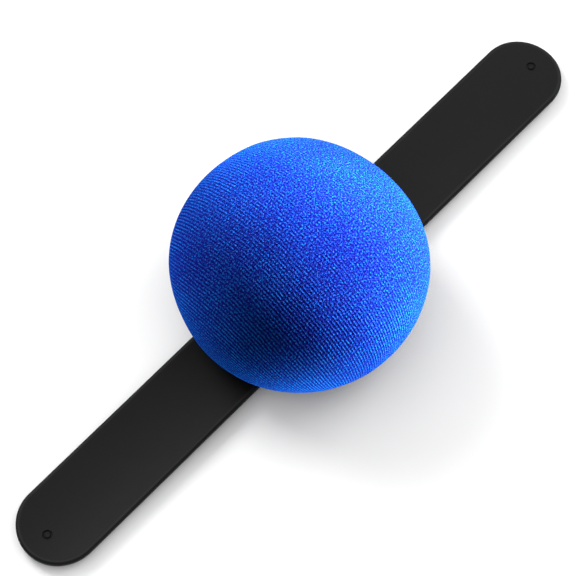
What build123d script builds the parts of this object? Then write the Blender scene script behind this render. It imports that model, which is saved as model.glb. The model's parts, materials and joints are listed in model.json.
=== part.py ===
from build123d import *
import math
import os

os.makedirs("parts", exist_ok=True)

# A wrist pin cushion: a velvet dome on a snap band. All sizes are in millimetres.
# The band lies straight along X, the cushion stands over its middle, and Z is up.
# The origin is under the middle of the bracket that holds the band, and Z = 0 is its underside.

# Band: silicone rubber moulded round a strip of sprung steel
band_length = 222.0
band_width = 25.0
band_thickness = 2.4
band_underside = 1.3
band_edge_radius = 0.9
camber = 1.0  # how far the long edges stand above the middle of the band
flattest_camber = 0.02  # what is left of it where the bracket holds the band flat
strip_width = 19.0
strip_thickness = 0.2
strip_end_margin = 4.0  # from the end of the steel to the tip of the band
strip_corner = 3.0
pocket_clearance = 0.08  # between the steel and the silicone
mark_from_tip = 7.6
mark_outer_radius = 1.5
mark_inner_radius = 0.75
mark_depth = 0.6
locating_hole_radius = 1.0

# Links: the band bends at even steps from the bracket to its two end links
held_half_length = 10.0  # from the middle to the first bend
links_per_side = 12
end_link_length = 15.0
link_gap = 0.5

# Cushion: a crown on a skirt that rolls under at its foot
equator_radius = 37.1
equator_height = 22.9
crown_height = 31.2
side_radius = 27.0  # how tightly the crown's side curves
roll_radius = 30.0
cushion_underside = 5.2
cover_thickness = 1.0
hem_underside = 7.6
hem_inner_radius = 19.6
stuffing_clearance = 0.15
thread_radius = 0.35
thread_circle_radius = 19.05

# Hard parts under the cushion
guard_radius = 27.0
guard_underside = 8.7
guard_thickness = 2.0
boss_radius = 2.4
boss_height = 4.5
plate_radius = 26.0
plate_underside = 5.0
plate_top = 7.5
platform_radius = 18.4
platform_top = 8.65
foot_underside = 3.8
bridge_length = 18.8
bridge_width = 37.0
bridge_corner = 2.5
bridge_top = 3.75
bridge_floor = 1.2
tunnel_width = 25.8
small_round = 0.4

# Screws
screw_spacing_x = 12.0
screw_spacing_y = 31.4
screw_radius = 1.1
screw_head_radius = 2.1
screw_head_height = 1.0
screw_recess_below = 0.15  # how far the head sits up inside the bracket
screw_length = 13.4
screw_point = 1.2
clearance_hole_radius = 1.25
pilot_hole_radius = 1.12
countersink_radius = 2.35
drive_slot_length = 2.4
drive_slot_width = 0.55
drive_slot_depth = 0.7

band_top = band_underside + band_thickness
strip_middle = band_underside + band_thickness / 2
tip_x = band_length / 2
last_bend_x = tip_x - end_link_length
bend_spacing = (last_bend_x - held_half_length) / (links_per_side - 1)
camber_start = held_half_length
camber_full = held_half_length + 2 * bend_spacing
guard_top = guard_underside + guard_thickness
boss_top = guard_top + boss_height
mark_x = tip_x - mark_from_tip
strip_full_length = band_length - 2 * strip_end_margin


def save(part, name):
    """Labels a finished piece and writes it to its own STEP file."""
    part.label = name
    export_step(part, f"parts/{name}.step")


def camber_at(x):
    """How far the band's edges stand above its middle at x: none in the bracket, all of it further out."""
    t = (abs(x) - camber_start) / (camber_full - camber_start)
    t = min(max(t, 0), 1)
    return max(camber * t * t * (3 - 2 * t), flattest_camber)


def band_solid(x_start, x_end, width, low, high, corner):
    """A length of the band's bent section, as wide as width, between two heights at its middle."""
    with BuildPart() as length:
        for x in (x_start, x_end):
            # The edge rises with the square of the distance from the middle
            rise = camber_at(x) * (width / band_width) ** 2
            with BuildSketch(Plane.YZ.offset(x)) as section:
                with BuildLine():
                    bottom = ThreePointArc((-width / 2, low + rise), (0, low), (width / 2, low + rise))
                    top = ThreePointArc((-width / 2, high + rise), (0, high), (width / 2, high + rise))
                    Line(bottom @ 0, top @ 0)
                    Line(bottom @ 1, top @ 1)
                make_face()
                if corner:
                    fillet(section.vertices(), corner)
        loft(ruled=True)
    return length.part


def rubber(x_start, x_end, corner=band_edge_radius):
    return band_solid(x_start, x_end, band_width, band_underside, band_top, corner)


def pocket(x_start, x_end):
    """The space in the silicone that the steel strip lies in."""
    half = strip_thickness / 2 + pocket_clearance
    width = strip_width + 2 * pocket_clearance
    return band_solid(x_start, x_end, width, strip_middle - half, strip_middle + half, 0)


def steel(x_start, x_end):
    half = strip_thickness / 2
    return band_solid(x_start, x_end, strip_width, strip_middle - half, strip_middle + half, 0)


def trimmed(solid, length, width, corner):
    """A solid cut to a rounded rectangle in plan, centred on the origin."""
    with BuildPart() as shape:
        add(solid)
        with BuildSketch():
            RectangleRounded(length, width, corner)
        extrude(amount=band_top + camber, mode=Mode.INTERSECT)
    return shape.part


def make_sleeve(name, x_start, x_end):
    """One plain length of silicone with the strip's pocket through it."""
    outside = rubber(x_start, x_end)
    inside = pocket(x_start, x_end)
    with BuildPart() as sleeve:
        add(outside)
        add(inside, mode=Mode.SUBTRACT)
    save(sleeve.part, name)


def make_tip_sleeve(name, side, x_start):
    """The end link's silicone: a round end, a pocket that stops short of it, and the mark on top."""
    outside = rubber(x_start, side * (tip_x + 1), corner=0)
    pocket_length = strip_full_length + 2 * pocket_clearance
    pocket_width = strip_width + 2 * pocket_clearance
    inside = trimmed(pocket(x_start, side * tip_x), pocket_length, pocket_width, strip_corner)
    with BuildPart() as sleeve:
        add(outside)
        with BuildSketch():
            SlotOverall(band_length, band_width)
        extrude(amount=band_top + camber, mode=Mode.INTERSECT)
        cut_face = sleeve.faces().sort_by(Axis.X)[0 if side > 0 else -1]
        cut_edges = cut_face.edges()
        rim = [e for e in sleeve.edges() if e not in cut_edges and abs((e % 0.5).Z) < 0.5]
        fillet(rim, band_edge_radius)
        add(inside, mode=Mode.SUBTRACT)
        with BuildSketch(Plane.XY.offset(band_top - mark_depth)):
            with Locations((side * mark_x, 0)):
                Circle(mark_outer_radius)
                Circle(mark_inner_radius, mode=Mode.SUBTRACT)
        extrude(amount=mark_depth + camber, mode=Mode.SUBTRACT)
    save(sleeve.part, name)


def make_tip_strip(name, side, x_start):
    """The end link's steel, with round corners and the hole that located it in the mould."""
    blank = trimmed(steel(x_start, side * tip_x), strip_full_length, strip_width, strip_corner)
    with BuildPart() as strip:
        add(blank)
        with BuildSketch():
            with Locations((side * mark_x, 0)):
                Circle(locating_hole_radius)
        extrude(amount=band_top, mode=Mode.SUBTRACT)
    save(strip.part, name)


# Centre of the band, which the bracket holds flat
centre_end = held_half_length - link_gap / 2
make_sleeve("sleeve_centre", -centre_end, centre_end)
save(steel(-centre_end, centre_end), "strip_centre")

# Both arms, link by link from the bracket to the tip
for arm, side in (("inner", 1), ("outer", -1)):
    for link in range(1, links_per_side + 1):
        bend_x = held_half_length + (link - 1) * bend_spacing
        x_start = side * (bend_x + link_gap / 2)
        x_end = side * (bend_x + bend_spacing - link_gap / 2)
        if link < links_per_side:
            make_sleeve(f"{arm}_sleeve_{link:02d}", x_start, x_end)
            save(steel(x_start, x_end), f"{arm}_strip_{link:02d}")
        else:
            make_tip_sleeve(f"{arm}_sleeve_{link:02d}", side, x_start)
            make_tip_strip(f"{arm}_strip_{link:02d}", side, x_start)


# The crown is an arc over the top that runs smoothly into a tighter arc at the side
side_centre_radius = equator_radius - side_radius
top_radius = (side_centre_radius**2 + crown_height**2 - side_radius**2) / (crown_height - side_radius) / 2
top_centre_height = equator_height + crown_height - top_radius
top_half_angle = math.degrees(math.asin(side_centre_radius / (top_radius - side_radius)))


def cushion_outline(inset):
    """Half the cushion's outline, from the top of the crown down and round to the hem.

    inset is the distance inside the velvet's outer face.
    """
    skirt_width = equator_radius - roll_radius
    skirt_height = equator_height - cushion_underside
    skirt_centre = (roll_radius, equator_height)
    roll = hem_underside - cushion_underside
    with BuildLine() as outline:
        CenterArc((0, top_centre_height), top_radius - inset, 90 - top_half_angle, top_half_angle)
        CenterArc((side_centre_radius, equator_height), side_radius - inset, 0, 90 - top_half_angle)
        EllipticalCenterArc(skirt_centre, skirt_width - inset, skirt_height - inset, 270, arc_size=90)
        CenterArc((roll_radius, hem_underside), roll - inset, 180, 90)
    return outline.line


# Velvet cover: the outer face, the hem folded in under the needle guard, and the inner face
outer_face = cushion_outline(0)
inner_face = cushion_outline(cover_thickness)
crown_top = equator_height + crown_height
fold_radius = roll_radius - (hem_underside - cushion_underside)
hem_top = hem_underside + cover_thickness
with BuildPart() as velvet_cover:
    with BuildSketch(Plane.XZ):
        with BuildLine():
            add(outer_face)
            add(inner_face)
            Line((0, crown_top), (0, crown_top - cover_thickness))
            Polyline(
                (fold_radius, hem_underside),
                (hem_inner_radius, hem_underside),
                (hem_inner_radius, hem_top),
                (fold_radius + cover_thickness, hem_top),
                (fold_radius + cover_thickness, hem_underside),
            )
        make_face()
    revolve(axis=Axis.Z)
save(velvet_cover.part, "velvet_cover")

# Stuffing: fills the cover down to the needle guard and round its edge
stuffing_inset = cover_thickness + stuffing_clearance
stuffing_face = cushion_outline(stuffing_inset)
stuffing_floor = guard_top + stuffing_clearance
stuffing_edge_floor = hem_top + stuffing_clearance
with BuildPart() as stuffing:
    with BuildSketch(Plane.XZ):
        with BuildLine():
            add(stuffing_face)
            Polyline(
                (0, crown_top - stuffing_inset),
                (0, stuffing_floor),
                (guard_radius + stuffing_clearance, stuffing_floor),
                (guard_radius + stuffing_clearance, stuffing_edge_floor),
                (fold_radius + stuffing_inset, stuffing_edge_floor),
                (fold_radius + stuffing_inset, hem_underside),
            )
        make_face()
    revolve(axis=Axis.Z)
    with BuildSketch(Plane.XY.offset(guard_top)):
        with GridLocations(screw_spacing_x, screw_spacing_y, 2, 2):
            Circle(boss_radius + 2 * stuffing_clearance)
    extrude(amount=boss_height + 2 * stuffing_clearance, mode=Mode.SUBTRACT)
save(stuffing.part, "stuffing")

# Needle guard: a hard disc under the stuffing, with four bosses for the screws
with BuildPart() as needle_guard:
    with BuildSketch(Plane.XY.offset(guard_underside)):
        Circle(guard_radius)
    extrude(amount=guard_thickness)
    fillet(needle_guard.edges(), small_round)
    with BuildSketch(Plane.XY.offset(guard_top)):
        with GridLocations(screw_spacing_x, screw_spacing_y, 2, 2):
            Circle(boss_radius)
    extrude(amount=boss_height)
    with BuildSketch(Plane.XY.offset(guard_underside)):
        with GridLocations(screw_spacing_x, screw_spacing_y, 2, 2):
            Circle(pilot_hole_radius)
    extrude(amount=boss_top - guard_underside - small_round, mode=Mode.SUBTRACT)
save(needle_guard.part, "needle_guard")

# Gather thread: a drawn ring of thread inside the hem
with BuildPart() as gather_thread:
    with Locations((0, 0, (hem_underside + hem_top) / 2)):
        Torus(thread_circle_radius, thread_radius)
save(gather_thread.part, "gather_thread")

# Base plate: a disc with a platform on top for the needle guard and a foot below for the band
with BuildPart() as base_plate:
    with BuildSketch(Plane.XY.offset(plate_underside)):
        Circle(plate_radius)
    extrude(amount=plate_top - plate_underside)
    fillet(base_plate.edges(), small_round)
    with BuildSketch(Plane.XY.offset(plate_top)):
        Circle(platform_radius)
    extrude(amount=platform_top - plate_top)
    with BuildSketch(Plane.XY.offset(foot_underside)):
        RectangleRounded(bridge_length, bridge_width, bridge_corner)
    extrude(amount=plate_underside - foot_underside)
    with BuildSketch(Plane.XY.offset(foot_underside)):
        with GridLocations(screw_spacing_x, screw_spacing_y, 2, 2):
            Circle(clearance_hole_radius)
    extrude(amount=platform_top - foot_underside, mode=Mode.SUBTRACT)
save(base_plate.part, "base_plate")

# Strap bridge: a shallow U that carries the band across the middle
with BuildPart() as strap_bridge:
    with BuildSketch():
        RectangleRounded(bridge_length, bridge_width, bridge_corner)
    extrude(amount=bridge_top)
    fillet(strap_bridge.faces().sort_by(Axis.Z)[0].edges(), small_round)
    with BuildSketch(Plane.XY.offset(bridge_floor)):
        Rectangle(bridge_length, tunnel_width)
    extrude(amount=bridge_top - bridge_floor, mode=Mode.SUBTRACT)
    with Locations(Plane(origin=(0, 0, 0), z_dir=(0, 0, -1))):
        with GridLocations(screw_spacing_x, screw_spacing_y, 2, 2):
            CounterSinkHole(clearance_hole_radius, countersink_radius)
save(strap_bridge.part, "strap_bridge")

# Bridge screws: countersunk self-tapping screws with a cross recess, point upwards
head_face = screw_recess_below
head_top = head_face + screw_head_height
screw_tip = head_face + screw_length
with BuildPart() as screw:
    with BuildSketch(Plane.XZ):
        with BuildLine():
            Polyline(
                (0, head_face),
                (screw_head_radius, head_face),
                (screw_radius, head_top),
                (screw_radius, screw_tip - screw_point),
                (0, screw_tip),
                close=True,
            )
        make_face()
    revolve(axis=Axis.Z)
    with BuildSketch(Plane.XY.offset(head_face)):
        Rectangle(drive_slot_length, drive_slot_width)
        Rectangle(drive_slot_width, drive_slot_length)
    extrude(amount=drive_slot_depth, mode=Mode.SUBTRACT)
with BuildPart() as bridge_screws:
    with GridLocations(screw_spacing_x, screw_spacing_y, 2, 2):
        add(screw.part)
save(bridge_screws.part, "bridge_screws")
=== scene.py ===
"""Looks for a wrist pin cushion: a velvet dome on a black silicone snap band.

Everything is in metres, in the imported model's frame: the band runs along X, the
cushion stands over its middle, and the bracket's underside is at Z = 0.
"""

import json
import math
import random

import bmesh
import bpy
from mathutils import Matrix, Vector, noise


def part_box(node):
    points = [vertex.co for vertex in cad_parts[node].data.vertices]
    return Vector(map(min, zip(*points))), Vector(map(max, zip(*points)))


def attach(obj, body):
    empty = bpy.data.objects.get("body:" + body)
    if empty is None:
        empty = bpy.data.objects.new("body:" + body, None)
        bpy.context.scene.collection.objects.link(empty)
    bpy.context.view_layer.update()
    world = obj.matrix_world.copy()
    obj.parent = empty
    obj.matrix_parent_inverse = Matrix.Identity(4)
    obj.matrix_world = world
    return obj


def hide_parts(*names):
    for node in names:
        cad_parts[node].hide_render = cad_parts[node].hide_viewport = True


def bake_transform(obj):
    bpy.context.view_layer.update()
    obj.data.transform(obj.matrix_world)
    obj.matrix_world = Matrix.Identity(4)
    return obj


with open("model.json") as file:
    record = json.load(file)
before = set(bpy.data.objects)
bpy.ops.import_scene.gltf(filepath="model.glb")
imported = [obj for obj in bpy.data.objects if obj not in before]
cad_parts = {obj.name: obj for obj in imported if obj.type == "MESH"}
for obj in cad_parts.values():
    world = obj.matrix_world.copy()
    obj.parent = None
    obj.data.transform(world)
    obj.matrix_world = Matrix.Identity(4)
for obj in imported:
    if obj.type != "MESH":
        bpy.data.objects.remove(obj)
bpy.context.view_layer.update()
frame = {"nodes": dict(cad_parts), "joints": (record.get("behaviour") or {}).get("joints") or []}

MM = 0.001

# Band, as in the CAD model
BAND_WIDTH = 25.0 * MM
BAND_THICKNESS = 2.4 * MM
BAND_EDGE_RADIUS = 0.9 * MM
CAMBER = 1.0 * MM
MARK_FROM_TIP = 7.6 * MM
MARK_RADIUS = 1.12 * MM
MARK_GROOVE_RADIUS = 0.36 * MM
MARK_GROOVE_DEPTH = 1.3 * MARK_GROOVE_RADIUS

# How far either side of a hinge the band's rings stand close together, the steps along that stretch,
# and the steps round the half circle of the band's tip
BEND_REACH = 2.3 * MM
BEND_STEPS = 12
TIP_ARC_STEPS = 48

# Cushion, as in the CAD model
EQUATOR_RADIUS = 37.1 * MM
EQUATOR_HEIGHT = 22.9 * MM
CROWN_HEIGHT = 31.2 * MM
SIDE_RADIUS = 27.0 * MM
ROLL_RADIUS = 30.0 * MM
CUSHION_UNDERSIDE = 5.2 * MM
HEM_UNDERSIDE = 7.6 * MM
HEM_INNER_RADIUS = 19.6 * MM
COVER_THICKNESS = 0.9 * MM

# Needle guard, as in the CAD model: its disc, and the middles of its four screw bosses
GUARD_THICKNESS = 2.0 * MM
BOSS_X = 6.0 * MM
BOSS_Y = 15.7 * MM

# Cover: faces along a sixth of it, the height below which the simulation holds it still, how far
# above that it is fully free, how much smaller it starts, and the most that a point may be moved
COVER_GRID = 44
HELD_HEIGHT = 11.0 * MM
HELD_FADE = 6.0 * MM
START_SCALE = 0.985
MOST_GROWTH = 1.2 * MM

# Gathers where the cover rolls under: how many waves of folds are mixed, how large they are, the
# shares of that by which they push up and in, and where they fade out at the top and at the hem
GATHER_WAVES = 5
GATHER_SIZE = 0.8 * MM
GATHER_UP = 0.35
GATHER_IN = 0.4
GATHER_TOP = 10.0 * MM
GATHER_TOP_FADE = 4.0 * MM
GATHER_HEM_FADE = 2.0 * MM

# Slight lumps in the stuffed cover
LUMP_HEIGHT = 0.12 * MM
LUMPS_PER_METRE = 90

# Filling: faces along a sixth of it, its gaps to the velvet, to the needle guard and to the screw
# bosses, the depth of its tufts, and the reach and slope of its pockets over the bosses
FILLING_GRID = 32
FILLING_GAP = 0.7 * MM
GUARD_GAP = 0.3 * MM
BOSS_GAP = 0.5 * MM
TUFT_DEPTH = 0.35 * MM
TUFTS_PER_METRE = 420
BOSS_POCKET_RADIUS = 6.4 * MM
BOSS_POCKET_SLOPE = 1.2 * MM

# Velvet: how much it gave sideways rather than sliding down as it was pulled over, how far its
# grain is turned from the band's length, and the spacing of its knitted ribs and rows
CLOTH_STRETCH = 0.38
GRAIN_TURN = math.radians(1.8)
RIB_PITCH = 0.98 * MM
ROW_PITCH = 0.80 * MM

# Camera: its bearing round the object, its height above the floor, its distance, and how far the
# object's origin stands to the right of and above the middle of the view
CAMERA_AZIMUTH = math.radians(-46.54)
CAMERA_ELEVATION = math.radians(65.01)
CAMERA_ROLL = math.radians(0.28)
CAMERA_DISTANCE = 0.79735
CAMERA_RIGHT = 3.17 * MM
CAMERA_UP = -2.55 * MM
CAMERA_LENS = 169.53

# Light: how strongly the white surround lights the object, how far off the small lights stand, the
# point that they face, and their colours
AMBIENT = 0.20
LIGHT_DISTANCE = 0.75
LIGHT_TARGET = Vector((0.0, 0.0, 0.03))
WHITE = (1.0, 1.0, 1.0)
WARM_WHITE = (1.0, 0.99, 0.97)

# Half the floor's width
FLOOR_HALF = 0.8


# Geometry helpers


def new_object(name, bm):
    """Turns a bmesh into an object in the scene."""
    mesh = bpy.data.meshes.new(name)
    bm.to_mesh(mesh)
    bm.free()
    obj = bpy.data.objects.new(name, mesh)
    bpy.context.scene.collection.objects.link(obj)
    return obj


def shade(bm, sharp_degrees=40.0):
    """Smooth shading, with sharp edges where two faces meet at more than the angle."""
    bmesh.ops.recalc_face_normals(bm, faces=bm.faces)
    for face in bm.faces:
        face.smooth = True
    limit = math.radians(sharp_degrees)
    for edge in bm.edges:
        edge.smooth = len(edge.link_faces) == 2 and edge.calc_face_angle() < limit


def bake_modifiers(obj):
    """Replaces the mesh with the evaluated one and drops the modifiers."""
    graph = bpy.context.evaluated_depsgraph_get()
    mesh = bpy.data.meshes.new_from_object(obj.evaluated_get(graph))
    old = obj.data
    obj.modifiers.clear()
    obj.data = mesh
    bpy.data.meshes.remove(old)


def smoothstep(t):
    t = min(max(t, 0.0), 1.0)
    return t * t * (3.0 - 2.0 * t)


# Band


def band_joints(arm):
    """The arm's hinges from the bracket outwards."""
    names = [arm + "_curl"] + [f"{arm}_bend_{k:02d}" for k in range(2, 13)]
    by_name = {joint["name"]: joint for joint in frame["joints"]}
    return [by_name[name] for name in names]


band_joint_x = [joint["pos_m"][0] for joint in band_joints("inner")]
band_middle_z = band_joints("inner")[0]["pos_m"][2]
bend_spacing = band_joint_x[1] - band_joint_x[0]
camber_start = band_joint_x[0]
camber_full = camber_start + 2 * bend_spacing
tip_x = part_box("inner_sleeve_12")[1].x


def camber_lift(x, y):
    """How far the band's surface is lifted at a point by the bend across its width."""
    rise = CAMBER * smoothstep((abs(x) - camber_start) / (camber_full - camber_start))
    return rise * (y / (BAND_WIDTH / 2)) ** 2


def edge_profile():
    """Points from the band's middle out over its top edge: (distance in from the edge, height)."""
    half_width = BAND_WIDTH / 2
    half_thick = BAND_THICKNESS / 2
    radius = BAND_EDGE_RADIUS
    flat_steps = 14
    arc_steps = 6
    points = []
    for i in range(flat_steps):
        points.append((half_width + (radius - half_width) * i / flat_steps, half_thick))
    for i in range(arc_steps + 1):
        angle = math.pi / 2 * i / arc_steps
        points.append((radius * (1 - math.sin(angle)), half_thick - radius * (1 - math.cos(angle))))
    return points


def band_ring():
    """The band's whole cross-section as (y, z) points about its middle."""
    quarter = [(BAND_WIDTH / 2 - inset, height) for inset, height in edge_profile()]
    top = quarter + [(y, -z) for y, z in reversed(quarter)]
    other = [(-y, z) for y, z in reversed(top)]
    ring = top + other
    return [p for i, p in enumerate(ring) if p != ring[i - 1]]


def band_vertex(bm, x, y, z):
    return bm.verts.new((x, y, band_middle_z + z + camber_lift(x, y)))


def close_ends(bm):
    """Fills the open ends of a length of band."""
    rims = [edge for edge in bm.edges if edge.is_boundary]
    bmesh.ops.holes_fill(bm, edges=rims, sides=0)


def bend_stations(hinge_x, side):
    """Places along the band, outwards, close together up to BEND_REACH either side of a hinge."""
    steps = [2 * i / BEND_STEPS - 1 for i in range(BEND_STEPS + 1)]
    return [hinge_x + side * BEND_REACH * step for step in steps]


def band_length(name, stations):
    """A plain length of band as a closed mesh, with a ring of points at each station along it."""
    bm = bmesh.new()
    section = band_ring()
    rings = []
    for x in stations:
        rings.append([band_vertex(bm, x, y, z) for y, z in section])
    for a, b in zip(rings, rings[1:]):
        for i in range(len(section)):
            j = (i + 1) % len(section)
            bm.faces.new((a[i], a[j], b[j], b[i]))
    close_ends(bm)
    shade(bm)
    return new_object(name, bm)


def band_tip(name, side, x_start, hinge_x):
    """The end of the band: straight edges that run into a half circle, with every edge rounded."""
    half_width = BAND_WIDTH / 2
    centre_x = abs(tip_x) - half_width
    straight = [abs(x_start)] + bend_stations(abs(hinge_x), 1)
    outline = [(x, -half_width, 0.0, 1.0) for x in straight]
    for i in range(TIP_ARC_STEPS + 1):
        angle = -math.pi / 2 + math.pi * i / TIP_ARC_STEPS
        c, s = math.cos(angle), math.sin(angle)
        outline.append((centre_x + half_width * c, half_width * s, -c, -s))
    outline += [(x, half_width, 0.0, -1.0) for x in reversed(straight)]
    profile = edge_profile()
    profile = profile + [(inset, -height) for inset, height in reversed(profile)]
    bm = bmesh.new()
    rows = []
    for x, y, nx, ny in outline:
        row = []
        for inset, height in profile:
            row.append(band_vertex(bm, side * (x + nx * inset), y + ny * inset, height))
        rows.append(row)
    for a, b in zip(rows, rows[1:]):
        for i in range(len(profile) - 1):
            bm.faces.new((a[i], a[i + 1], b[i + 1], b[i]))
    bmesh.ops.remove_doubles(bm, verts=bm.verts, dist=1e-7)
    close_ends(bm)
    shade(bm)
    tip = new_object(name, bm)
    cut_mark(tip, side * (abs(tip_x) - MARK_FROM_TIP))
    return tip


def cut_mark(tip, x):
    """Cuts the small ring-shaped mark into the top of the band's end."""
    z = band_middle_z + BAND_THICKNESS / 2
    around, across = 40, 12
    bm = bmesh.new()
    loops = []
    for i in range(around):
        a = 2 * math.pi * i / around
        loop = []
        for j in range(across):
            b = 2 * math.pi * j / across
            r = MARK_RADIUS + MARK_GROOVE_RADIUS * math.cos(b)
            height = z + MARK_GROOVE_DEPTH * math.sin(b)
            loop.append(bm.verts.new((x + r * math.cos(a), r * math.sin(a), height)))
        loops.append(loop)
    for i in range(around):
        a, b = loops[i], loops[(i + 1) % around]
        for j in range(across):
            k = (j + 1) % across
            bm.faces.new((a[j], a[k], b[k], b[j]))
    bmesh.ops.recalc_face_normals(bm, faces=bm.faces)
    cutter = new_object("mark_cutter", bm)
    cut = tip.modifiers.new("mark", "BOOLEAN")
    cut.operation = "DIFFERENCE"
    cut.solver = "EXACT"
    cut.object = cutter
    bake_modifiers(tip)
    bpy.data.objects.remove(cutter)
    bm = bmesh.new()
    bm.from_mesh(tip.data)
    shade(bm, 30.0)
    bm.to_mesh(tip.data)
    bm.free()


def mark_edge_inset(obj):
    """Stores how far in from the band's outline each point is, for the painted edge highlight."""
    half_width = BAND_WIDTH / 2
    centre_x = abs(tip_x) - half_width
    attribute = obj.data.attributes.new("edge_inset", "FLOAT", "POINT")
    for i, vert in enumerate(obj.data.vertices):
        x, y = abs(vert.co.x), abs(vert.co.y)
        reach = math.hypot(x - centre_x, y) if x > centre_x else y
        attribute.data[i].value = half_width - reach


def build_band():
    """The silicone band: a still middle, and a piece across each hinge from mid-link to mid-link."""
    pieces = []
    reach = camber_start - bend_spacing / 2
    middle = band_length("band_middle", [-reach, reach])
    mark_edge_inset(middle)
    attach(middle, "cushion")
    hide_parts("sleeve_centre")
    pieces.append(middle)
    for arm, side in (("inner", 1), ("outer", -1)):
        joints = band_joints(arm)
        for number, joint in enumerate(joints, 1):
            x = joint["pos_m"][0]
            x_start = x - side * bend_spacing / 2
            x_end = x + side * bend_spacing / 2
            name = f"band_{arm}_{number:02d}"
            if number < len(joints):
                piece = band_length(name, [x_start] + bend_stations(x, side) + [x_end])
            else:
                piece = band_tip(name, side, x_start, x)
            mark_edge_inset(piece)
            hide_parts(f"{arm}_sleeve_{number:02d}")
            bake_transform(piece)
            pieces.append(piece)
    return pieces


# Cushion


def cushion_profile():
    """The velvet's outer face in section, as dense (radius, height) points.

    They run from the crown's top down the side, round the foot's roll, and in along the hem.
    """
    steps = 60
    roll_steps = 20
    hem_steps = 8
    crown_side = EQUATOR_RADIUS - SIDE_RADIUS
    top_radius = crown_side**2 + CROWN_HEIGHT**2 - SIDE_RADIUS**2
    top_radius = top_radius / (CROWN_HEIGHT - SIDE_RADIUS) / 2
    top_centre = EQUATOR_HEIGHT + CROWN_HEIGHT - top_radius
    half_angle = math.asin(crown_side / (top_radius - SIDE_RADIUS))
    points = []
    for i in range(steps):
        a = half_angle * i / steps
        points.append((top_radius * math.sin(a), top_centre + top_radius * math.cos(a)))
    for i in range(steps):
        a = half_angle + (math.pi / 2 - half_angle) * i / steps
        radius = crown_side + SIDE_RADIUS * math.sin(a)
        points.append((radius, EQUATOR_HEIGHT + SIDE_RADIUS * math.cos(a)))
    skirt_width = EQUATOR_RADIUS - ROLL_RADIUS
    skirt_height = EQUATOR_HEIGHT - CUSHION_UNDERSIDE
    for i in range(steps):
        a = math.pi / 2 * i / steps
        radius = ROLL_RADIUS + skirt_width * math.cos(a)
        points.append((radius, EQUATOR_HEIGHT - skirt_height * math.sin(a)))
    roll = HEM_UNDERSIDE - CUSHION_UNDERSIDE
    for i in range(roll_steps + 1):
        a = math.pi / 2 * i / roll_steps
        points.append((ROLL_RADIUS - roll * math.sin(a), HEM_UNDERSIDE - roll * math.cos(a)))
    fold = ROLL_RADIUS - roll
    for i in range(1, hem_steps + 1):
        points.append((fold + (HEM_INNER_RADIUS - fold) * i / hem_steps, HEM_UNDERSIDE))
    points.append((0.0, HEM_UNDERSIDE))
    return points


class Outline:
    """A section that can be looked up by the share of its length."""

    def __init__(self, points):
        self.points = points
        self.lengths = [0.0]
        for a, b in zip(points, points[1:]):
            self.lengths.append(self.lengths[-1] + math.dist(a, b))
        self.total = self.lengths[-1]

    def at(self, share):
        target = min(max(share, 0.0), 1.0) * self.total
        low, high = 0, len(self.points) - 1
        while high - low > 1:
            middle = (low + high) // 2
            if self.lengths[middle] <= target:
                low = middle
            else:
                high = middle
        span = self.lengths[high] - self.lengths[low]
        t = (target - self.lengths[low]) / span if span else 0.0
        a, b = self.points[low], self.points[high]
        return a[0] + (b[0] - a[0]) * t, a[1] + (b[1] - a[1]) * t

    def share_of_radius_below(self, radius):
        """The share of the length at which the section comes back in to a radius."""
        for i in range(len(self.points) - 1, 0, -1):
            if self.points[i - 1][0] >= radius - 1e-9:
                return self.lengths[i - 1] / self.total
        return 1.0


def round_grid(faces_per_side):
    """A unit sphere of even quads, made from a cube, so that the crown has no pinched pole."""
    bm = bmesh.new()
    bmesh.ops.create_cube(bm, size=2.0)
    bmesh.ops.subdivide_edges(bm, edges=bm.edges, cuts=faces_per_side - 1, use_grid_fill=True)
    for vert in bm.verts:
        x, y, z = (math.tan(c * math.pi / 4) for c in vert.co)
        vert.co = Vector((x, y, z)).normalized()
    return bm


def inflate(obj, held_group, frames=20):
    """Blows the cover up like stretch cloth over a firm filling, from a slightly smaller shape."""
    cloth = obj.modifiers.new("inflate", "CLOTH")
    settings = cloth.settings
    settings.quality = 6
    settings.mass = 0.2
    settings.tension_stiffness = 18
    settings.compression_stiffness = 18
    settings.shear_stiffness = 6
    settings.bending_stiffness = 0.6
    settings.use_pressure = True
    settings.uniform_pressure_force = 4.0
    settings.vertex_group_mass = held_group
    settings.effector_weights.gravity = 0.0
    cloth.point_cache.frame_start = 1
    cloth.point_cache.frame_end = frames
    for number in range(1, frames + 1):
        bpy.context.scene.frame_set(number)
    bake_modifiers(obj)


def gather_depth(angle, waves):
    """How deep the gathers are at an angle round the hem: uneven folds between 0 and 1."""
    depth = 0.0
    for count, phase, weight in waves:
        depth += weight * (0.5 + 0.5 * math.sin(count * angle + phase))
    return depth


def hand_made(angle):
    """How far the stuffed cover stands out from a true round at an angle about its middle."""
    across_band = -0.55 * MM * math.cos(2 * angle)
    flat_over_band = -0.30 * MM * math.cos(4 * angle)
    leaning = -0.22 * MM * math.sin(angle)
    return across_band + flat_over_band + leaning


def mark_cloth_place(mesh, places):
    """Stores where each point lay on the flat cloth before it was pulled over, for the ribs."""
    attribute = mesh.attributes.new("cloth_place", "FLOAT_VECTOR", "POINT")
    for item, place in zip(attribute.data, places):
        item.vector = place


def share_from_top(point):
    """How far round from the top a point of the unit sphere lies, as a share of half a turn."""
    return math.acos(max(-1.0, min(1.0, point.z))) / math.pi


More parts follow.
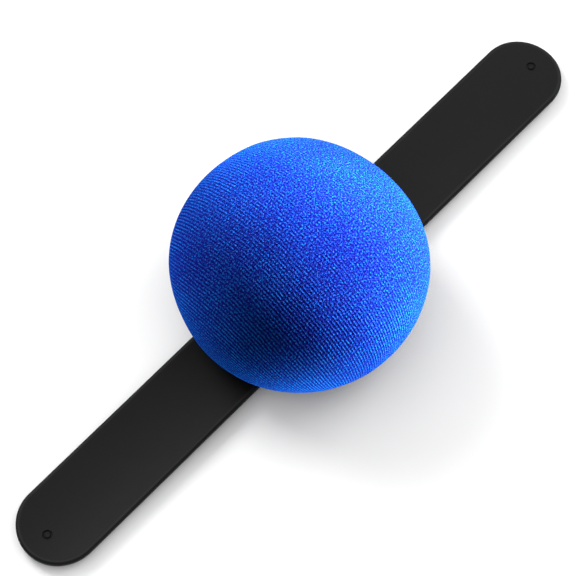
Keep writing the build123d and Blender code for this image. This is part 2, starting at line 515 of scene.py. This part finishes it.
def settle_cover(cover, rest, shares, middle):
    """Keeps the blown-up cover near its true size, and adds its gathers and slight lumps."""
    free = [i for i, place in enumerate(rest) if place.z > EQUATOR_HEIGHT]
    wanted = sum((rest[i] - middle).length for i in free)
    growth = wanted / sum((cover.data.vertices[i].co - middle).length for i in free)
    waves = []
    for _ in range(GATHER_WAVES):
        waves.append((random.randint(19, 47), random.uniform(0, 2 * math.pi), 1 / GATHER_WAVES))
    for vert, place, share in zip(cover.data.vertices, rest, shares):
        pulled = smoothstep((place.z - HELD_HEIGHT) / HELD_FADE)
        moved = (middle + (vert.co - middle) * growth - place) * pulled
        if moved.length > MOST_GROWTH:
            moved *= MOST_GROWTH / moved.length
        from_hem = math.hypot(place.x, place.y) - HEM_INNER_RADIUS
        under = smoothstep((GATHER_TOP - place.z) / GATHER_TOP_FADE) if share > 0.5 else 0.0
        under *= smoothstep(from_hem / GATHER_HEM_FADE)
        gather = GATHER_SIZE * under * gather_depth(math.atan2(place.y, place.x), waves)
        lump = LUMP_HEIGHT * noise.noise(place * LUMPS_PER_METRE) * (1 - under)
        outward = Vector((place.x, place.y, 0)).normalized()
        vert.co = place + moved + Vector((0, 0, GATHER_UP * gather)) - outward * gather * GATHER_IN
        vert.co += place.normalized() * lump


def trim_hem(mesh, shares, hem_share):
    """Cuts the cover away inside its hem, and draws the cut's edge to a true circle."""
    bm = bmesh.new()
    bm.from_mesh(mesh)
    past_hem = {vert for vert, share in zip(bm.verts, shares) if share > hem_share}
    for vert in past_hem:
        outward = Vector((vert.co.x, vert.co.y, 0)).normalized()
        vert.co = outward * HEM_INNER_RADIUS + Vector((0, 0, HEM_UNDERSIDE))
    gone = [face for face in bm.faces if past_hem.issuperset(face.verts)]
    bmesh.ops.delete(bm, geom=gone, context="FACES")
    for face in bm.faces:
        face.smooth = True
    bm.to_mesh(mesh)
    bm.free()


def build_cover():
    """The velvet: an inflated crown, a smooth skirt, and gathers where it rolls under to its hem."""
    outline = Outline(cushion_profile())
    middle = Vector((0, 0, EQUATOR_HEIGHT))
    bm = round_grid(COVER_GRID)
    rest = []
    shares = []
    on_cloth = []
    for vert in bm.verts:
        share = share_from_top(vert.co)
        radius, height = outline.at(share)
        angle = math.atan2(vert.co.y, vert.co.x)
        turned = angle + GRAIN_TURN
        reach = CLOTH_STRETCH * radius + (1 - CLOTH_STRETCH) * share * outline.total
        above_foot = smoothstep((height - HEM_UNDERSIDE) / (EQUATOR_HEIGHT - HEM_UNDERSIDE))
        radius += hand_made(angle) * above_foot * smoothstep(radius / EQUATOR_RADIUS)
        rest.append(Vector((radius * math.cos(angle), radius * math.sin(angle), height)))
        shares.append(share)
        on_cloth.append((reach * math.cos(turned), reach * math.sin(turned), 0.0))
    for vert, place in zip(bm.verts, rest):
        vert.co = place if place.z < HELD_HEIGHT else middle + (place - middle) * START_SCALE
    cover = new_object("velvet_dome", bm)
    group = cover.vertex_groups.new(name="held")
    group.add([i for i, place in enumerate(rest) if place.z < HELD_HEIGHT], 1.0, "REPLACE")
    inflate(cover, group.name)
    settle_cover(cover, rest, shares, middle)
    mark_cloth_place(cover.data, on_cloth)
    trim_hem(cover.data, shares, outline.share_of_radius_below(HEM_INNER_RADIUS))
    smooth = cover.modifiers.new("smooth", "SUBSURF")
    smooth.levels = smooth.render_levels = 1
    shell = cover.modifiers.new("shell", "SOLIDIFY")
    shell.thickness = COVER_THICKNESS
    shell.offset = -1.0
    bake_modifiers(cover)
    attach(cover, "cushion")
    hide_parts("velvet_cover")
    return cover


def build_filling():
    """The firm fibre filling, packed unevenly inside the velvet and flat on the needle guard."""
    outline = Outline(cushion_profile())
    inset = COVER_THICKNESS + FILLING_GAP
    guard_low, guard_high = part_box("needle_guard")
    floor = guard_low.z + GUARD_THICKNESS + GUARD_GAP
    boss_cover = guard_high.z + BOSS_GAP
    bm = round_grid(FILLING_GRID)
    for vert in bm.verts:
        radius, height = outline.at(share_from_top(vert.co))
        angle = math.atan2(vert.co.y, vert.co.x)
        spoke = Vector((math.cos(angle) * radius, math.sin(angle) * radius, height - EQUATOR_HEIGHT))
        place = spoke * (1 - inset / max(spoke.length, inset * 2))
        place.z += EQUATOR_HEIGHT
        boss_away = math.hypot(abs(place.x) - BOSS_X, abs(place.y) - BOSS_Y)
        over_boss = smoothstep((BOSS_POCKET_RADIUS - boss_away) / BOSS_POCKET_SLOPE)
        place.z = max(place.z, floor + (boss_cover - floor) * over_boss)
        tuft = TUFT_DEPTH * (noise.noise(place * TUFTS_PER_METRE) - 1)
        vert.co = place + spoke.normalized() * tuft
    for face in bm.faces:
        face.smooth = True
    filling = new_object("fibre_filling", bm)
    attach(filling, "cushion")
    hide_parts("stuffing")
    return filling


# Materials


class Graph:
    """A material's nodes, with short calls to add and join them."""

    def __init__(self, name):
        self.material = bpy.data.materials.new(name)
        self.material.use_nodes = True
        self.tree = self.material.node_tree
        self.shader = next(n for n in self.tree.nodes if n.type == "BSDF_PRINCIPLED")

    def node(self, kind, inputs=None, **settings):
        made = self.tree.nodes.new(kind)
        for key, value in settings.items():
            setattr(made, key, value)
        for key, value in (inputs or {}).items():
            self.set(made.inputs[key], value)
        return made

    def set(self, socket, value):
        if isinstance(value, bpy.types.NodeSocket):
            self.tree.links.new(value, socket)
        else:
            socket.default_value = value

    def surface(self, **inputs):
        for key, value in inputs.items():
            self.set(self.shader.inputs[key.replace("_", " ")], value)

    def place(self):
        """Where a point lies in the object's own space."""
        return self.node("ShaderNodeTexCoord").outputs["Object"]

    def math(self, operation, *values, clamp=False):
        made = self.node("ShaderNodeMath", operation=operation, use_clamp=clamp)
        for socket, value in zip(made.inputs, values):
            self.set(socket, value)
        return made.outputs[0]

    def noise(self, place, scale, detail=2.0, roughness=0.5):
        inputs = {"Vector": place, "Scale": scale, "Detail": detail, "Roughness": roughness}
        return self.node("ShaderNodeTexNoise", inputs).outputs[0]

    def stretched(self, place, factors):
        made = self.node("ShaderNodeVectorMath", operation="MULTIPLY")
        self.set(made.inputs[0], place)
        made.inputs[1].default_value = factors
        return made.outputs[0]

    def ramp(self, value, stops):
        made = self.node("ShaderNodeValToRGB", {"Fac": value})
        elements = made.color_ramp.elements
        while len(elements) < len(stops):
            elements.new(0.5)
        for element, (position, colour) in zip(elements, stops):
            element.position = position
            element.color = (*colour, 1.0)
        return made.outputs[0]

    def range(self, value, low, high, new_low=0.0, new_high=1.0):
        inputs = {"Value": value, "From Min": low, "From Max": high}
        inputs.update({"To Min": new_low, "To Max": new_high})
        return self.node("ShaderNodeMapRange", inputs).outputs[0]

    def off_middle(self, value):
        """Noise moved so that it is as often above zero as below."""
        return self.math("SUBTRACT", value, 0.5)

    def bump(self, height, distance, strength=1.0):
        inputs = {"Height": height, "Distance": distance, "Strength": strength}
        self.set(self.shader.inputs["Normal"], self.node("ShaderNodeBump", inputs).outputs[0])


def velvet_material():
    """Stretch velvet: a speckled pile over fine knitted ribs that run across the band."""
    g = Graph("velvet")
    place = g.place()
    cloth = g.node("ShaderNodeAttribute", attribute_name="cloth_place").outputs["Vector"]
    across, along, _ = g.node("ShaderNodeSeparateXYZ", {0: cloth}).outputs
    wander = g.math("MULTIPLY", g.off_middle(g.noise(cloth, 160.0)), 0.5 * MM)
    rib = g.math("SINE", g.math("MULTIPLY", g.math("ADD", across, wander), 2 * math.pi / RIB_PITCH))
    jitter = g.math("MULTIPLY", g.off_middle(g.noise(cloth, 900.0)), 1.2 * MM)
    row = g.math("SINE", g.math("MULTIPLY", g.math("ADD", along, jitter), 2 * math.pi / ROW_PITCH))
    # Rib strength: random patches, times painted light that fades the ribs towards +X and towards
    # the crown, where the key light washes them out
    patch = g.range(g.noise(place, 60.0), 0.35, 0.65, 0.55, 1.0)
    axes = g.node("ShaderNodeSeparateXYZ", {0: place}).outputs
    clear = g.math("MULTIPLY", patch, g.range(axes[0], 22 * MM, -12 * MM, 0.30, 1.0))
    clear = g.math("MULTIPLY", clear, g.range(axes[2], 52 * MM, 36 * MM, 0.35, 1.0))
    ribs = g.math("MULTIPLY", rib, clear)
    pile = g.off_middle(g.noise(cloth, 1900.0, 2.0, 0.8))
    nap = g.off_middle(g.noise(place, 26.0, 2.0))
    tone = g.math("MULTIPLY_ADD", pile, 2.2, 0.42)
    tone = g.math("MULTIPLY_ADD", ribs, 0.24, tone)
    tone = g.math("MULTIPLY_ADD", g.math("MULTIPLY", row, rib), 0.05, tone)
    tone = g.math("MULTIPLY_ADD", nap, 0.35, tone)
    navy = (0.0030, 0.0018, 0.080)
    royal = (0.0065, 0.0120, 0.230)
    azure = (0.0110, 0.2050, 0.740)
    colour = g.ramp(tone, [(0.1, navy), (0.45, royal), (0.9, azure)])
    height = g.math("MULTIPLY_ADD", ribs, 0.7, g.math("MULTIPLY", pile, 1.4))
    g.bump(g.math("MULTIPLY_ADD", row, 0.12, height), 0.22 * MM, 0.9)
    g.surface(Base_Color=colour, Roughness=0.8, Sheen_Weight=0.30, Sheen_Roughness=0.35)
    g.surface(Sheen_Tint=(0.012, 0.20, 0.95, 1.0))
    g.shader.inputs["Specular IOR Level"].default_value = 0.0
    return g.material


def silicone_material():
    """Matte black silicone with a satin grain, a little haze and a painted highlight just inside
    each edge.
    """
    g = Graph("silicone")
    place = g.place()
    grain = g.noise(place, 5200.0, 2.0, 0.6)
    haze = g.noise(place, 55.0, 3.0, 0.55)
    inset = g.node("ShaderNodeAttribute", attribute_name="edge_inset").outputs["Fac"]
    # Painted highlight: a lighter line about 0.75 to 0.9 mm in from the outline, on the inner part
    # of the edge's rounding, where it would catch the light
    highlight_in = g.range(inset, 0.35 * MM, 0.75 * MM)
    highlight_out = g.range(inset, 1.5 * MM, 0.9 * MM)
    edge_highlight = g.math("MULTIPLY", highlight_in, highlight_out)
    tone = g.math("MULTIPLY_ADD", haze, 0.55, g.math("MULTIPLY", grain, 0.35))
    tone = g.math("MULTIPLY_ADD", edge_highlight, 0.35, tone, clamp=True)
    black = (0.0015, 0.0015, 0.0015)
    dusty = (0.003, 0.003, 0.003)
    # The lightest stop is the painted edge highlight
    highlight_grey = (0.015, 0.015, 0.015)
    colour = g.ramp(tone, [(0.2, black), (0.55, dusty), (1.0, highlight_grey)])
    rough = g.math("MULTIPLY_ADD", haze, 0.16, 0.46)
    g.bump(g.math("MULTIPLY_ADD", haze, 0.6, grain), 0.03 * MM, 0.7)
    g.surface(Base_Color=colour, Roughness=rough)
    g.shader.inputs["Specular IOR Level"].default_value = 0.15
    return g.material


def moulded_plastic(name, dark, light, rough):
    """Injection-moulded plastic with a fine spark texture."""
    g = Graph(name)
    place = g.place()
    spark = g.noise(place, 3600.0, 3.0, 0.7)
    flow = g.noise(place, 80.0, 2.0)
    tone = g.math("MULTIPLY_ADD", flow, 0.6, g.math("MULTIPLY", spark, 0.4))
    colour = g.ramp(tone, [(0.25, dark), (0.75, light)])
    g.bump(spark, 0.03 * MM, 0.6)
    g.surface(Base_Color=colour, Roughness=g.math("MULTIPLY_ADD", spark, 0.18, rough))
    return g.material


def steel_material(name, streak, light):
    """Drawn or rolled steel, with streaks along the way it was worked."""
    g = Graph(name)
    place = g.place()
    lines = g.noise(g.stretched(place, streak), 1.0, 3.0, 0.65)
    stain = g.noise(place, 260.0, 2.0)
    tone = g.math("MULTIPLY_ADD", stain, 0.3, g.math("MULTIPLY", lines, 0.7))
    dull = tuple(channel * 0.7 for channel in light)
    colour = g.ramp(tone, [(0.25, dull), (0.75, light)])
    g.bump(lines, 0.01 * MM, 0.5)
    g.surface(Base_Color=colour, Metallic=1.0, Roughness=g.math("MULTIPLY_ADD", lines, 0.25, 0.22))
    return g.material


def thread_material():
    """Twisted polyester thread: strands that slant round the ring."""
    g = Graph("thread")
    place = g.place()
    axes = g.node("ShaderNodeSeparateXYZ", {0: place}).outputs
    angle = g.math("ARCTAN2", axes[1], axes[0])
    twist = g.math("SINE", g.math("MULTIPLY_ADD", axes[2], 9000.0, g.math("MULTIPLY", angle, 190.0)))
    fuzz = g.noise(place, 6000.0, 2.0)
    tone = g.math("MULTIPLY_ADD", twist, 0.25, fuzz)
    dark_blue = (0.001, 0.01, 0.12)
    blue = (0.006, 0.06, 0.5)
    colour = g.ramp(tone, [(0.2, dark_blue), (0.8, blue)])
    g.bump(tone, 0.12 * MM, 0.9)
    g.surface(Base_Color=colour, Roughness=0.7, Sheen_Weight=0.3, Sheen_Roughness=0.4)
    return g.material


def fibre_material():
    """Packed polyester fibre: off-white strands lying every way."""
    g = Graph("fibre")
    place = g.place()
    strands = g.noise(g.stretched(place, (1400.0, 500.0, 900.0)), 1.0, 5.0, 0.75)
    clumps = g.noise(place, 130.0, 3.0)
    tone = g.math("MULTIPLY_ADD", clumps, 0.5, g.math("MULTIPLY", strands, 0.5))
    shaded = (0.55, 0.53, 0.48)
    off_white = (0.86, 0.85, 0.81)
    colour = g.ramp(tone, [(0.3, shaded), (0.7, off_white)])
    g.bump(strands, 0.5 * MM, 0.9)
    g.surface(Base_Color=colour, Roughness=0.95, Sheen_Weight=0.3)
    return g.material


def floor_material():
    """A plain pale floor."""
    g = Graph("floor")
    tone = g.noise(g.place(), 9.0, 2.0)
    darker = (0.84, 0.84, 0.84)
    lighter = (0.88, 0.88, 0.88)
    g.surface(Base_Color=g.ramp(tone, [(0.0, darker), (1.0, lighter)]), Roughness=0.75)
    return g.material


def paint(obj, material):
    """Gives every material slot of an object one material."""
    if not obj.data.materials:
        obj.data.materials.append(material)
    for slot in obj.material_slots:
        slot.material = material


# Stage


def light_world():
    """A white surround that the camera sees at full strength and that lights the object softly."""
    world = bpy.data.worlds.new("studio")
    world.use_nodes = True
    nodes, links = world.node_tree.nodes, world.node_tree.links
    background = nodes["Background"]
    background.inputs["Color"].default_value = (1.0, 1.0, 1.0, 1.0)
    seen = nodes.new("ShaderNodeLightPath").outputs["Is Camera Ray"]
    strength = nodes.new("ShaderNodeMapRange")
    strength.inputs["To Min"].default_value = AMBIENT
    strength.inputs["To Max"].default_value = 1.0
    links.new(seen, strength.inputs["Value"])
    links.new(strength.outputs[0], background.inputs["Strength"])
    bpy.context.scene.world = world


def build_floor():
    """A pale floor that throws no light back on the object."""
    corners = ((-1, -1), (1, -1), (1, 1), (-1, 1))
    bm = bmesh.new()
    bm.faces.new([bm.verts.new((x * FLOOR_HALF, y * FLOOR_HALF, 0.0)) for x, y in corners])
    floor = new_object("floor", bm)
    paint(floor, floor_material())
    floor.visible_diffuse = False


def light_stage(cover, right, up, back):
    """Soft lights for the band and floor, and others for the velvet alone."""
    only_velvet = bpy.data.collections.new("only_velvet")
    only_velvet.objects.link(cover)
    all_but_velvet = bpy.data.collections.new("all_but_velvet")
    all_but_velvet.objects.link(cover)
    all_but_velvet.collection_objects[0].light_linking.link_state = "EXCLUDE"
    room_lights = (
        ("overhead", Vector((0, 0, 1)), 1.8, 5.0, 78.0),
        ("key", -right * 0.55 + up * 0.75 + back * 0.37, LIGHT_DISTANCE, 0.35, 3.6),
        ("fill", right * 0.67 + up * 0.62 + back * 0.25, LIGHT_DISTANCE, 0.45, 2.5),
    )
    for name, direction, distance, size, power in room_lights:
        light = add_light(name, direction.normalized() * distance, size, power, WHITE)
        light.light_linking.receiver_collection = all_but_velvet
    velvet_lights = (
        ("velvet_key", right * 0.67 + up * 0.62 + back * 0.22, 0.45, 52.0),
        ("velvet_bounce", right * 0.80 - up * 0.60 - back * 0.30, 0.50, 30.0),
        ("velvet_rim", -right * 0.87 + up * 0.50 - back * 0.15, 0.40, 12.0),
    )
    for name, direction, size, power in velvet_lights:
        light = add_light(name, direction.normalized() * LIGHT_DISTANCE, size, power, WARM_WHITE)
        light.data.cycles.max_bounces = 0
        light.light_linking.receiver_collection = only_velvet
        light.light_linking.blocker_collection = only_velvet


def place_camera(right, up, back):
    """The camera, aimed along its own back axis."""
    camera = bpy.data.objects.new("camera", bpy.data.cameras.new("camera"))
    bpy.context.scene.collection.objects.link(camera)
    camera.data.sensor_width = 36.0
    camera.data.lens = CAMERA_LENS
    camera.data.clip_start = 0.01
    camera.data.clip_end = 20.0
    place = back * CAMERA_DISTANCE - right * CAMERA_RIGHT - up * CAMERA_UP
    turn = Matrix((right, up, back)).transposed().to_4x4()
    camera.matrix_world = Matrix.Translation(place) @ turn
    bpy.context.scene.camera = camera


def build_stage(cover):
    """Floor, surround, lights and camera."""
    build_floor()
    light_world()
    bpy.context.scene.view_settings.view_transform = "Standard"
    right, up, back = view_axes()
    light_stage(cover, right, up, back)
    place_camera(right, up, back)


def view_axes():
    """The camera's right, up and back directions."""
    a, e = CAMERA_AZIMUTH, CAMERA_ELEVATION
    back = Vector((math.sin(a) * math.cos(e), -math.cos(a) * math.cos(e), math.sin(e)))
    right = Vector((math.cos(a), math.sin(a), 0.0))
    up = back.cross(right)
    c, s = math.cos(CAMERA_ROLL), math.sin(CAMERA_ROLL)
    return right * c - up * s, right * s + up * c, back


def add_light(name, place, size, power, colour):
    """A square soft light that faces the cushion."""
    data = bpy.data.lights.new(name, "AREA")
    data.shape = "SQUARE"
    data.size = size
    data.energy = power
    data.color = colour
    light = bpy.data.objects.new(name, data)
    bpy.context.scene.collection.objects.link(light)
    light.location = place
    light.rotation_mode = "QUATERNION"
    light.rotation_quaternion = (LIGHT_TARGET - place).to_track_quat("-Z", "Y")
    return light


random.seed(7)
band = build_band()
cover = build_cover()
filling = build_filling()

silicone = silicone_material()
for piece in band:
    paint(piece, silicone)
paint(cover, velvet_material())
paint(filling, fibre_material())

black_plastic = moulded_plastic("black_plastic", (0.012, 0.012, 0.013), (0.028, 0.028, 0.03), 0.38)
white_plastic = moulded_plastic("white_plastic", (0.66, 0.66, 0.63), (0.78, 0.78, 0.75), 0.35)
screw_steel = steel_material("screw_steel", (900.0, 900.0, 2600.0), (0.62, 0.62, 0.63))
strip_steel = steel_material("strip_steel", (60.0, 3200.0, 3200.0), (0.60, 0.60, 0.62))
finishes = {
    "base_plate": black_plastic,
    "strap_bridge": black_plastic,
    "needle_guard": white_plastic,
    "bridge_screws": screw_steel,
    "gather_thread": thread_material(),
}
for name, obj in frame["nodes"].items():
    if name in finishes:
        paint(obj, finishes[name])
    elif "strip" in name:
        paint(obj, strip_steel)

build_stage(cover)
